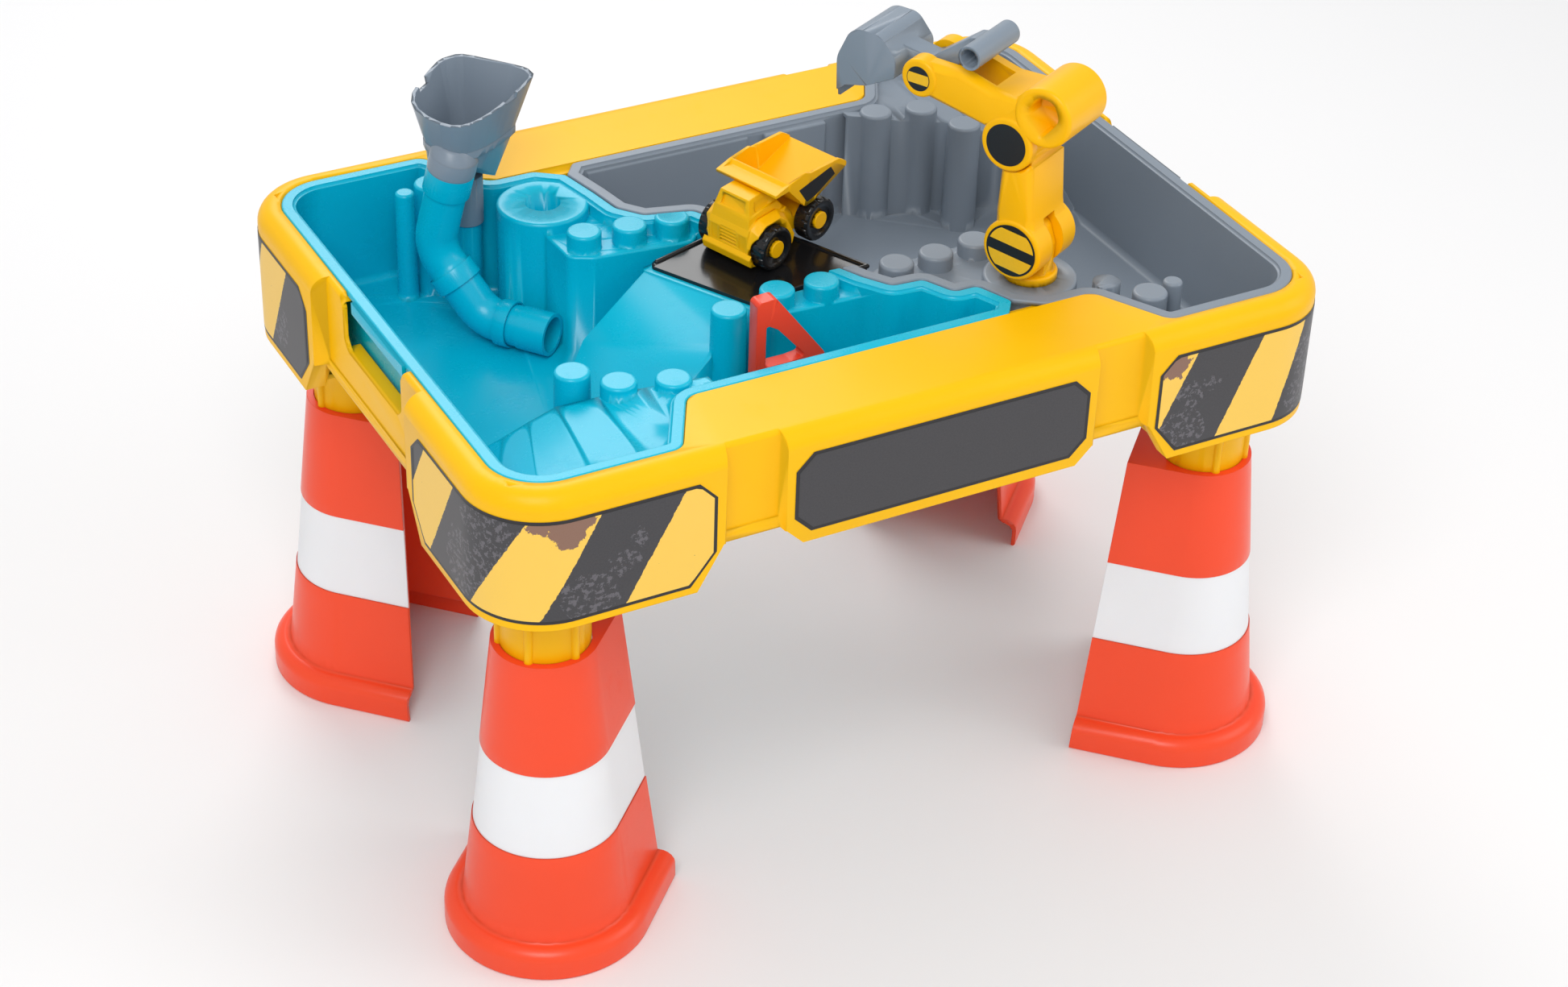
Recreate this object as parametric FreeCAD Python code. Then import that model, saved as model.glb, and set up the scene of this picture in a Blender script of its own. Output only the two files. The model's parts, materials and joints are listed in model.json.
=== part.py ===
import FreeCAD, Part
import math
import os

os.makedirs("parts", exist_ok=True)
V = FreeCAD.Vector

# ---- driving dimensions, millimetres ----
RIM = 440.0              # height of the table rim above the floor
SKIRT_X = 346.0          # half length of the skirt
SKIRT_Y = 247.0          # half width of the skirt
SKIRT_R = 52.0
SKIRT_BOTTOM = RIM - 83.5
WALL = 3.0               # moulded wall of the trays
FRAME_WALL = 4.0
BUMPER_X = 358.5
BUMPER_Y = 257.0
BUMPER_R = 60.0
BUMPER_BOTTOM = RIM - 114.0
TRAY_DEPTH = 97.0        # rim to inside floor
TRAY_GAP = 0.75          # each tray flange stands this far inside its outline
RIM_BAND = 12.0
FLANGE = 4.0
PEG_R = 14.0
LOBE_R = 37.0
BORE_R = 14.5            # socket in each tray lobe
SOCKET_DEPTH = 30.0
TURN_CLEAR = 0.05        # radial clearance of turning fits
SLEEVE_R = 11.0          # slim peg that carries the funnel
FUNNEL_X = -197.0
FUNNEL_Y = 166.0
LEG_CX = 291.4
LEG_CY = 185.8
LEG_TOP = RIM - 172.0
FOOT_R = 81.0
FOOT_H = 26.0
BAND_LOW = 101.5
BAND_HIGH = 174.5
POST_R = 34.3
POST_GAP = 0.4
BRIDGE_T = 3.0
BRIDGE_SEAT = RIM - 19.0
RAIL_R = 2.0
WHEEL_R = 18.0
WHEEL_BASE = 51.0
PIN_R = 4.0
LABEL_T = 0.5


# ---- helpers ----
def rounded(points, z=0.0):
    n = len(points)
    corners = []
    for i in range(n):
        x, y, r = points[i]
        a = V(points[i - 1][0] - x, points[i - 1][1] - y, 0).normalize()
        b = V(points[(i + 1) % n][0] - x, points[(i + 1) % n][1] - y, 0).normalize()
        half = math.acos(max(-1.0, min(1.0, a.dot(b)))) / 2
        c = V(x, y, z)
        if r < 0.01 or half > 1.56:
            corners.append((c, None, c))
        else:
            t = r / math.tan(half)
            mid = c + (a + b).normalize() * (r / math.sin(half) - r)
            corners.append((c + a * t, mid, c + b * t))
    edges = []
    for i in range(n):
        start = corners[i - 1][2]
        p, mid, q = corners[i]
        if start.distanceToPoint(p) > 1e-4:
            edges.append(Part.makeLine(start, p))
        if mid is not None:
            edges.append(Part.Arc(p, mid, q).toShape())
    return Part.Wire(edges)


def prism(points, z0, z1):
    return Part.Face(rounded(points, z0)).extrude(V(0, 0, z1 - z0))


def inset_prism(points, d, z0, z1):
    wire = rounded(points, z0).makeOffset2D(-d) if abs(d) > 1e-6 else rounded(points, z0)
    return Part.Face(wire).extrude(V(0, 0, z1 - z0))


def rect(hx, hy, r):
    return [(-hx, -hy, r), (hx, -hy, r), (hx, hy, r), (-hx, hy, r)]


def box(x0, x1, y0, y1, z0, z1):
    return Part.makeBox(x1 - x0, y1 - y0, z1 - z0, V(x0, y0, z0))


def cyl(r, z0, z1, x=0.0, y=0.0):
    return Part.makeCylinder(r, z1 - z0, V(x, y, z0))


def rod(r, a, b):
    return Part.makeCylinder(r, a.distanceToPoint(b), a, b - a)


def flat_edges(shape, z):
    found = []
    for e in shape.Edges:
        b = e.BoundBox
        if abs(b.ZMin - z) < 1e-4 and abs(b.ZMax - z) < 1e-4:
            found.append(e)
    return found


def ease(shape, z, r):
    return shape.makeFillet(r, flat_edges(shape, z))


def fuse(items):
    return items[0].multiFuse(items[1:]).removeSplitter() if len(items) > 1 else items[0]


def half_turn(points):
    return [(-x, -y, r) for x, y, r in points]


def spin(shape, angle=180.0):
    other = shape.copy()
    other.rotate(V(0, 0, 0), V(0, 0, 1), angle)
    return other


def wedge_y(pts, y0, y1):
    """Prism of an (x, z) outline between two y planes."""
    wire = Part.makePolygon([V(x, y0, z) for x, z in pts] + [V(pts[0][0], y0, pts[0][1])])
    return Part.Face(wire).extrude(V(0, y1 - y0, 0))


def upright(points, y0, y1):
    """Prism of a rounded (x, z, r) outline between two y planes."""
    flat = prism([(x, z, r) for x, z, r in points], 0, y1 - y0)
    flat.rotate(V(0, 0, 0), V(1, 0, 0), 90)
    flat.translate(V(0, y1, 0))
    return flat


def cyl_y(r, x, z, y0, y1):
    return Part.makeCylinder(r, y1 - y0, V(x, y0, z), V(0, 1, 0))


def drum(r, x, z, half, e):
    """Disc across the Y axis with rounded rims."""
    body = cyl_y(r, x, z, -half, half)
    return body.makeFillet(e, [k for k in body.Edges if k.BoundBox.YMax - k.BoundBox.YMin < 1e-3])


def bar(points, half, e):
    """Straight-sided (x, z) prism with every long edge of its two faces chamfered."""
    body = wedge_y(points, -half, half)
    return body.makeChamfer(e, [k for k in body.Edges if k.BoundBox.YMax - k.BoundBox.YMin < 1e-3])


def loft(sections):
    wires = []
    for pts in sections:
        wires.append(Part.makePolygon([V(*p) for p in pts] + [V(*pts[0])]))
    return Part.makeLoft(wires, True, True)


def save(name, shape):
    if not shape.isValid():
        print("INVALID", name)
    print(name, len(shape.Solids), round(shape.Volume / 1000.0, 1))
    shape.exportStep("parts/" + name + ".step")


# ---- tray outlines, counter-clockwise (x, y, corner radius) ----
BLUE_OUTER = [(-134, 178, 14), (-173, 178, 14), (-206, 238, 14), (-340, 238, 42), (-340, -238, 42),
              (-206, -238, 14), (-173, -178, 14), (100, -178, 8), (112, -162, 5)]
SEAM = [(99, -131, 8), (79, -131, 8), (66, -105, 8), (40, -103, 8), (26, -82, 10), (-45, 66, 10),
        (-84, 76, 10), (-99, 95, 12), (-104, 125, 12)]
GRAY_OUTER = half_turn(BLUE_OUTER)
BLUE = BLUE_OUTER + SEAM + [(-112, 162, 5)]
GRAY = [(112, -162, 5)] + GRAY_OUTER[:-1] + [(-112, 162, 5)] + SEAM[::-1]
OPENING = [p for p in BLUE_OUTER if p[0] != 112] + [p for p in GRAY_OUTER if p[0] != -112]

# ---- bridge footprint and slope ----
BL = V(-104, 29, RIM - 16)
BF = V(-56, -60, RIM - 16)
BR = V(46, -64, RIM - 6)
BB = V(-9, 46, RIM - 5.6)
UP = (BF - BL).cross(BR - BL).normalize()
BRIDGE_PLAN = [(BL.x, BL.y, 5), (BF.x, BF.y, 5), (BR.x, BR.y, 5), (BB.x, BB.y, 5)]


# ---- table frame ----
def corner_masks():
    one = [(175, 236), (182, 262), (372, 262), (372, 95), (336, 89), (336, 228), (300, 236)]
    masks = []
    for sx in (-1, 1):
        for sy in (-1, 1):
            pts = [(x * sx, y * sy, 0) for x, y in one]
            if sx * sy > 0:
                pts.reverse()
            solid = prism(pts, BUMPER_BOTTOM - 2, RIM + 2)
            low = BUMPER_BOTTOM - 3
            cut = wedge_y([(sx * 170, low), (sx * 170, low + 39), (sx * 182, low + 39), (sx * 203, low + 3),
                           (sx * 203, low)], -sy * -220, sy * 270)
            side = loft([[(sx * 330, sy * 85, low), (sx * 330, sy * 117, low), (sx * 330, sy * 117, low + 3),
                          (sx * 330, sy * 95, low + 39), (sx * 330, sy * 85, low + 39)],
                         [(sx * 375, sy * 85, low), (sx * 375, sy * 117, low), (sx * 375, sy * 117, low + 3),
                          (sx * 375, sy * 95, low + 39), (sx * 375, sy * 85, low + 39)]])
            masks.append(solid.cut(cut).cut(side))
    return masks


def table_frame():
    skirt = ease(prism(rect(SKIRT_X, SKIRT_Y, SKIRT_R), SKIRT_BOTTOM, RIM), RIM, 4.0)
    lip = prism(rect(SKIRT_X + 1.2, SKIRT_Y + 1.2, SKIRT_R + 1.2), SKIRT_BOTTOM, SKIRT_BOTTOM + 10)
    big = ease(prism(rect(BUMPER_X, BUMPER_Y, BUMPER_R), BUMPER_BOTTOM, RIM), RIM, 14.0)
    masks = corner_masks()
    inner = prism(rect(BUMPER_X - FRAME_WALL, BUMPER_Y - FRAME_WALL, BUMPER_R - FRAME_WALL),
                  BUMPER_BOTTOM - 1, RIM - 16)
    parts = [skirt, lip]
    hollows = []
    for m in masks:
        parts.append(big.common(m))
        b = m.BoundBox
        sx = 1 if b.Center.x > 0 else -1
        sy = 1 if b.Center.y > 0 else -1
        pocket = inner.common(m)
        slab_x = box(min(sx * 207, sx * 380), max(sx * 207, sx * 380), -300, 300, 300, 460)
        slab_y = box(-400, 400, min(sy * 121, sy * 300), max(sy * 121, sy * 300), 300, 460)
        hollows.append(pocket.common(slab_x).common(slab_y))
    for sy in (-1, 1):
        panel = prism([(-134, sy * 244, 0), (134, sy * 244, 0), (131, sy * 262, 0), (-131, sy * 262, 0)],
                      RIM - 96, RIM + 1)
        for sx in (-1, 1):
            tip = wedge_y([(sx * 136, RIM - 98), (sx * 136, RIM - 82), (sx * 131, RIM - 82), (sx * 117, RIM - 96),
                           (sx * 117, RIM - 98)], sy * 230, sy * 270)
            panel = panel.cut(tip)
        parts.append(big.common(panel))
        hollows.append(box(-127, 127, min(sy * 240, sy * 253), max(sy * 240, sy * 253), RIM - 84, RIM - 16))
    body = fuse(parts)
    cavity = prism(rect(SKIRT_X - FRAME_WALL, SKIRT_Y - FRAME_WALL, SKIRT_R - FRAME_WALL),
                   BUMPER_BOTTOM - 5, RIM - 7)
    roof = prism(rect(SKIRT_X - FRAME_WALL, SKIRT_Y - FRAME_WALL, SKIRT_R - FRAME_WALL), RIM - 7, RIM - 3)
    roof = roof.cut(inset_prism(OPENING, -WALL, RIM - 8, RIM))
    body = body.cut(fuse([cavity] + hollows))
    body = body.cut(roof)
    body = body.cut(inset_prism(OPENING, 0, RIM - FLANGE, RIM + 1))
    body = body.cut(inset_prism(OPENING, 8.0, RIM - 8, RIM))
    notch = [(-56, RIM - 37, 8), (-48, RIM - 45, 8), (50, RIM - 45, 8), (58, RIM - 37, 8), (58, RIM - 10, 6),
             (66, RIM + 3, 0), (-64, RIM + 3, 0), (-56, RIM - 10, 6)]
    tool = upright(notch, 331, 365)
    tool.rotate(V(0, 0, 0), V(0, 0, 1), -90)
    body = body.cut(tool).cut(spin(tool))
    extra = []
    for s in (-1, 1):
        extra.append(box(min(s * 333, s * 343), max(s * 333, s * 343), -58, 58, RIM - 49, RIM - 45))
    plate = [(207, -255, 4), (BUMPER_X - 2, -255, 56), (BUMPER_X - 2, -120, 4), (262, -120, 20),
             (207, -168, 20)]
    hole = cyl(POST_R - WALL, BUMPER_BOTTOM - 90, BUMPER_BOTTOM + 12, LEG_CX, -LEG_CY)
    flat = box(-24, 60, -60, 60, 0, 200)
    flat.rotate(V(0, 0, 0), V(0, 0, 1), -45)
    flat.translate(V(LEG_CX, -LEG_CY, LEG_TOP - 40))
    post = cyl(POST_R, LEG_TOP - 28, BUMPER_BOTTOM + 3, LEG_CX, -LEG_CY).common(flat)
    ribs = []
    for a in (-105, -45, 15):
        x = LEG_CX + POST_R * math.cos(math.radians(a))
        y = -LEG_CY + POST_R * math.sin(math.radians(a))
        ribs.append(cyl(3.5, LEG_TOP, BUMPER_BOTTOM + 3, x, y))
    corner = fuse([prism(plate, BUMPER_BOTTOM + 3, BUMPER_BOTTOM + 7), post] + ribs)
    flat_in = box(-24 + WALL, 60, -60, 60, 0, 200)
    flat_in.rotate(V(0, 0, 0), V(0, 0, 1), -45)
    flat_in.translate(V(LEG_CX, -LEG_CY, LEG_TOP - 40))
    corner = corner.cut(hole.common(flat_in))
    mirror = corner.mirror(V(0, 0, 0), V(1, 0, 0))
    extra += [corner, mirror, spin(corner), spin(mirror)]
    return fuse([body] + extra)


# ---- trays ----
CAUSEWAY = [(-110, 30, 4), (-57, -68, 4), (53, -70, 4), (-6, 54, 4)]
PEGS_BLUE = [(-140, 68, RIM + 3), (-104, 61, RIM + 4), (-69, 57, RIM + 5), (-45.6, -76, RIM + 4),
             (-8.6, -79, RIM + 4), (-92.5, -86.6, RIM + 4), (-233.6, -111, RIM), (-208.6, -137.5, RIM),
             (-170.6, -150.6, RIM), (-216, 195, RIM)]
PEGS_GRAY = [(60, -75, RIM + 1), (96, -74, RIM + 1), (134, -70, RIM + 1), (216, -195, RIM),
             (171, 154, RIM), (210, 145, RIM), (228, 104, RIM)]
LEDGES_BLUE = [([(-160, 104, 8), (-158, 58, 10), (-140, 49, 10), (-58, 40, 6), (-40, 62, 4), (-84, 82, 4),
                 (-100, 112, 4), (-112, 120, 4)], RIM - 12),
               ([(-60, -67, 4), (-60, -90, 8), (22, -94, 4), (34, -80, 2), (22, -62, 2)], RIM - 10)]
LEDGES_GRAY = [([(28, -86, 4), (42, -106, 4), (68, -108, 4), (82, -134, 4), (112, -134, 4), (156, -104, 8),
                 (156, -58, 10), (140, -54, 8), (52, -58, 6), (32, -68, 2)], RIM - 12),
               ([(-92, 164.5, 2), (56, 164.5, 2), (56, 185, 0), (-92, 185, 0)], RIM - 5),
               ([(70, 161.5, 2), (128, 161.5, 2), (128, 185, 0), (70, 185, 0)], RIM - 5)]
SLIDE = [(-146, -158, -146, -190, RIM - 2), (-170, -150, -172, -215, RIM - 5), (-190, -142, -196, -242, RIM - 9),
         (-224, -133, -230, -246, RIM - 13), (-252, -122, -270, -248, RIM - 20), (-272, -118, -318, -246, RIM - 30),
         (-290, -112, -346, -226, RIM - 42), (-302, -100, -347, -180, RIM - 56), (-308, -86, -347, -130, RIM - 74),
         (-310, -66, -347, -90, RIM - 90), (-310, -52, -347, -60, RIM - TRAY_DEPTH - 2)]


def slide(drop, shrink, base):
    sections = []
    for xi, yi, xo, yo, top in SLIDE:
        d = math.hypot(xo - xi, yo - yi)
        x = xi + (xo - xi) * shrink / d
        y = yi + (yo - yi) * shrink / d
        z = max(top - drop, base + 0.5)
        sections.append([(x, y, base), (xo, yo, base), (xo, yo, z), (x, y, z)])
    return loft(sections)


def ramp(drop, shrink, base):
    along = V(-UP.x, -UP.y, 0).normalize()
    across = V(0, 0, 1).cross(along)
    start = BL if (BF - BL).dot(across) > 0 else BF
    width = abs((BF - BL).dot(across))
    down = along * -1
    pts = []
    for s, z in ((-12, RIM - 19), (0, RIM - 19), (84, RIM - 44), (129, RIM - TRAY_DEPTH - 1), (-12, base)):
        pts.append((s - shrink if s > 100 else s, max(z - drop, base)))
    pts[-1] = (pts[0][0], base)
    first = start + across * shrink
    span = across * (width - 2 * shrink)
    wire = []
    for s, z in pts:
        p = first + down * s
        wire.append(V(p.x, p.y, z))
    return Part.Face(Part.makePolygon(wire + [wire[0]])).extrude(span)


def peg(x, y, top, r=PEG_R):
    low = RIM - TRAY_DEPTH - 1.5
    body = Part.makeCone(r + 0.6, r - 0.3, top - low, V(x, y, low))
    return body.makeFillet(2.6, flat_edges(body, top))


def tray(outline, pegs, ledges, lobe, slim, rib, blue):
    floor = RIM - TRAY_DEPTH
    shell = inset_prism(outline, TRAY_GAP, RIM - FLANGE, RIM)
    shell = shell.makeFillet(1.4, flat_edges(shell, RIM))
    body = inset_prism(outline, RIM_BAND - WALL, floor - WALL, RIM - 1)
    body = body.makeFillet(5.0, flat_edges(body, floor - WALL))
    cavity = inset_prism(outline, RIM_BAND, floor, RIM - 2)
    cavity = cavity.makeFillet(6.0, flat_edges(cavity, floor))
    flare = inset_prism(outline, RIM_BAND - 2.5, RIM - 2.5, RIM + 3)
    flare = flare.makeFillet(2.4, flat_edges(flare, RIM - 2.5))
    shell = shell.fuse(body).cut(cavity).cut(flare)
    lx, ly = lobe
    lands = []
    hollows = []
    below = floor - WALL - 1
    for pts, top in ledges:
        land = prism(pts, floor - 1, top)
        lands.append(land.makeFillet(2.0, flat_edges(land, top)))
        hollows.append(inset_prism(pts, WALL, below, top - WALL) if top < RIM - 8 else None)
    hollows = [h for h in hollows if h is not None]
    way = prism(CAUSEWAY, floor - 1, BRIDGE_SEAT)
    lands.append(way)
    hollows.append(inset_prism(CAUSEWAY, WALL, below, BRIDGE_SEAT - WALL))
    disc = cyl(LOBE_R, floor - 1, RIM - 2, lx, ly)
    lands.append(disc.makeFillet(3.0, flat_edges(disc, RIM - 2)))
    sleeve = cyl(BORE_R + WALL, RIM - 2 - SOCKET_DEPTH - WALL, RIM - 2, lx, ly)
    hollows.append(cyl(LOBE_R - WALL, below, RIM - 2 - WALL, lx, ly).cut(sleeve))
    if blue:
        lands.append(slide(0, 0, floor - 1))
        hollows.append(slide(WALL, WALL, below))
        lands.append(ramp(0, 0, floor - 1))
        hollows.append(ramp(WALL, WALL, below))
    else:
        lands.append(spin(slide(0, 0, floor - 1)))
        hollows.append(spin(slide(WALL, WALL, below)))
    for x, y, top in pegs:
        lands.append(peg(x, y, top))
        hollows.append(cyl(PEG_R - WALL, below, top - WALL, x, y))
    lands.append(cyl(SLEEVE_R, floor - 1, RIM, slim[0], slim[1]))
    hollows.append(cyl(SLEEVE_R - WALL, below, RIM - WALL, slim[0], slim[1]))
    lands.append(peg(rib[0], rib[1], RIM, 8.0))
    room = inset_prism(outline, RIM_BAND - 1.0, floor - 1, RIM - 1)
    room = room.fuse(inset_prism(outline, RIM_BAND - 2.0, RIM - 3, RIM + 20))
    shell = shell.multiFuse([land.common(room) for land in lands])
    under = inset_prism(outline, RIM_BAND, below - 1, RIM + 10)
    shell = shell.cut(fuse([h.common(under) for h in hollows]))
    shell = shell.cut(cyl(BORE_R, RIM - 2 - SOCKET_DEPTH, RIM + 20, lx, ly))
    wide = inset_prism(BRIDGE_PLAN, -1.0, BRIDGE_SEAT, RIM + 30)
    shell = shell.cut(wide)
    return shell.removeSplitter()


def water_tray():
    shell = tray(BLUE, PEGS_BLUE, LEDGES_BLUE, (-147, 131), (FUNNEL_X, FUNNEL_Y), (-241, 189), True)
    lip = box(-342, -338.6, -50, 50, RIM - 12, RIM - 2)
    return fuse([shell, lip])


def sand_tray():
    shell = tray(GRAY, PEGS_GRAY, LEDGES_GRAY, (147, -131), (193, -169), (241, -189), False)
    lip = box(338.6, 342, -50, 50, RIM - 12, RIM - 2)
    return fuse([shell, lip])


# ---- legs: half-round hollow cones on spread feet ----
def d_section(w, cut, z):
    c = math.hypot(LEG_CX, LEG_CY)
    a = V(cut, -w, z)
    b = V(c, -w, z)
    e = V(c, w, z)
    g = V(cut, w, z)
    return Part.Wire([Part.makeLine(a, b), Part.Arc(b, V(c + w, 0, z), e).toShape(), Part.makeLine(e, g),
                      Part.makeLine(g, a)])


def leg_half_width(z):
    if z > BAND_LOW:
        return 58.0 + (40.6 - 58.0) * (z - BAND_LOW) / (LEG_TOP - BAND_LOW)
    return 66.5 + (58.0 - 66.5) * (z - FOOT_H) / (BAND_LOW - FOOT_H)


def leg_cut(z):
    return 307.0 - 14.0 - (LEG_TOP - z) * 17.0 / LEG_TOP


def d_loft(levels):
    return Part.makeLoft([d_section(w, cut, z) for w, cut, z in levels], True, True)


def leg():
    foot = [(FOOT_R - 1.5, 0.0), (FOOT_R, 1.5), (FOOT_R, 16.5), (FOOT_R - 0.7, 19.5), (FOOT_R - 2.8, 22.6),
            (FOOT_R - 6.0, 25.0), (FOOT_R - 9.5, FOOT_H)]
    outer = d_loft([(w, leg_cut(z), z) for w, z in foot])
    stem = d_loft([(leg_half_width(z), leg_cut(z), z) for z in (20.0, FOOT_H, BAND_LOW, LEG_TOP)])
    outer = outer.fuse(stem)
    t = 3.6
    inner = [(FOOT_R - t, -1.0), (FOOT_R - t, 16.0), (FOOT_R - t - 3, 20.0), (FOOT_R - t - 10, 22.4),
             (leg_half_width(25.0) - t, 25.0), (leg_half_width(BAND_LOW) - t, BAND_LOW),
             (leg_half_width(LEG_TOP - t) - t, LEG_TOP - t)]
    outer = outer.cut(d_loft([(w, 200.0, z) for w, z in inner]))
    z0 = BAND_LOW
    z1 = BAND_HIGH
    ring = d_loft([(leg_half_width(z) + 9, 150.0, z) for z in (z0, z1)])
    ring = ring.cut(d_loft([(leg_half_width(z) - 2.0, 100.0, z) for z in (z0 - 5, z1 + 5)]))
    outer = outer.cut(ring)
    flat = box(math.hypot(LEG_CX, LEG_CY) - 24 - POST_GAP, 400, -60, 60, LEG_TOP - 60, LEG_TOP + 10)
    hole = cyl(POST_R + POST_GAP, LEG_TOP - 20, LEG_TOP + 5, math.hypot(LEG_CX, LEG_CY), 0).common(flat)
    return outer.cut(hole)


def leg_band():
    z0 = BAND_LOW
    z1 = BAND_HIGH
    band = d_loft([(leg_half_width(z) - 1.0, leg_cut(z), z) for z in (z0, z1)])
    return band.cut(d_loft([(leg_half_width(z) - 2.0, 100.0, z) for z in (z0 - 5, z1 + 5)]))


def place_leg(shape, sx, sy):
    other = shape.copy()
    other.translate(V(-math.hypot(LEG_CX, LEG_CY), 0, 0))
    other.rotate(V(0, 0, 0), V(0, 0, 1), math.degrees(math.atan2(sy, sx)))
    other.translate(V(sx * LEG_CX, sy * LEG_CY, 0))
    return other


# ---- bridge plate ----
def bridge():
    block = prism(BRIDGE_PLAN, BRIDGE_SEAT, RIM + 30)
    big = Part.makePlane(600, 600)
    big.translate(V(-300, -300, 0))
    top = big.extrude(V(0, 0, 80))
    spot = FreeCAD.Placement(BL, FreeCAD.Rotation(V(0, 0, 1), UP))
    top.Placement = spot
    under = big.extrude(V(0, 0, -80))
    under.Placement = FreeCAD.Placement(BL - UP * BRIDGE_T, FreeCAD.Rotation(V(0, 0, 1), UP))
    plate = block.cut(top)
    core = inset_prism(BRIDGE_PLAN, BRIDGE_T, BRIDGE_SEAT - 1, RIM + 30).common(under)
    mid = rod(4.0, V(-55, -20, BRIDGE_SEAT), V(-55, -20, RIM - 14))
    plate = plate.cut(core)
    ribs = []
    for t in (0.33, 0.66):
        a = BL + (BR - BL) * t
        rib = box(a.x - 1.2, a.x + 1.2, -90, 80, BRIDGE_SEAT, RIM + 20)
        ribs.append(rib.common(block).cut(top))
    rails = []
    loop = [BL, BF, BR, BB]
    inner = []
    for i in range(4):
        a = (loop[i] - loop[i - 1]).normalize()
        b = (loop[(i + 1) % 4] - loop[i]).normalize()
        inner.append(loop[i] + (UP.cross(a) + UP.cross(b)) * ((RAIL_R + 0.6) / (1 + a.dot(b))))
    inner = [inner[0] + (inner[3] - inner[0]) * 0.04, inner[3], inner[2], inner[1] + (inner[2] - inner[1]) * 0.04]
    for a, b in zip(inner[:-1], inner[1:]):
        rails.append(rod(RAIL_R, a + UP * 0.2, b + UP * 0.2))
    for p in inner:
        rails.append(Part.makeSphere(RAIL_R, p + UP * 0.2))
    floor = box(-200, 200, -200, 200, BRIDGE_SEAT, RIM + 30)
    return fuse([plate.fuse(mid.common(block).cut(top))] + ribs + rails).common(floor)


# ---- pipe run and funnel ----
H = V(math.cos(math.radians(-52)), math.sin(math.radians(-52)), 0)
P1 = V(-226.7, 125.2, RIM + 48.4)
P2 = V(-237.8, 139.5, RIM - 24.4)
P3 = V(-210.1, 104.1, RIM - 78)
P4 = P3 + H * 60
TUBE_R = 16.6
TUBE_IN = 14.2
SOCKET_R = 19.0
POST_OUT = 13.0


def bent(points, bend, r):
    """Round bar along straight runs joined by one circular bend."""
    a, b, c = points
    u = (a - b).normalize()
    w = (c - b).normalize()
    half = math.acos(u.dot(w)) / 2
    t = bend / math.tan(half)
    p = b + u * t
    q = b + w * t
    mid = b + (u + w).normalize() * (bend / math.sin(half) - bend)
    wire = Part.Wire([Part.makeLine(a, p), Part.Arc(p, mid, q).toShape(), Part.makeLine(q, c)])
    circle = Part.Wire([Part.makeCircle(r, a, p - a)])
    return wire.makePipeShell([circle], True, False)


def along(a, b, d):
    return a + (b - a).normalize() * d


def pipes():
    joint = P2 + (P3 - P2) * 0.52
    upper = bent([P1, P2, joint], 34, TUBE_R)
    upper = fuse([upper, rod(SOCKET_R, P1, along(P1, P2, 20)), rod(SOCKET_R, along(joint, P2, 14), joint)])
    upper = upper.cut(bent([along(P1, P2, -1), P2, along(joint, P2, -1)], 34, TUBE_IN))
    upper = upper.cut(rod(TUBE_R + TURN_CLEAR, along(P1, P2, -1), along(P1, P2, 15)))
    upper = upper.cut(rod(TUBE_R + TURN_CLEAR, along(joint, P2, 10), along(joint, P2, -1)))
    ring = P3 + H * 26
    lower = bent([along(joint, P2, 10), P3, ring], 30, TUBE_R)
    lower = fuse([lower, rod(SOCKET_R, P3 + H * 15, ring)])
    lower = lower.cut(bent([along(joint, P2, 11), P3, ring + H], 30, TUBE_IN))
    lower = lower.cut(rod(TUBE_R + TURN_CLEAR, ring - H * 8, ring + H))
    spout = rod(TUBE_R, ring - H * 8, P4).fuse(rod(TUBE_R + 0.9, P4 - H * 26, P4))
    spout = spout.cut(rod(TUBE_IN, ring - H * 9, P4 + H))
    return upper, lower, spout


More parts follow.
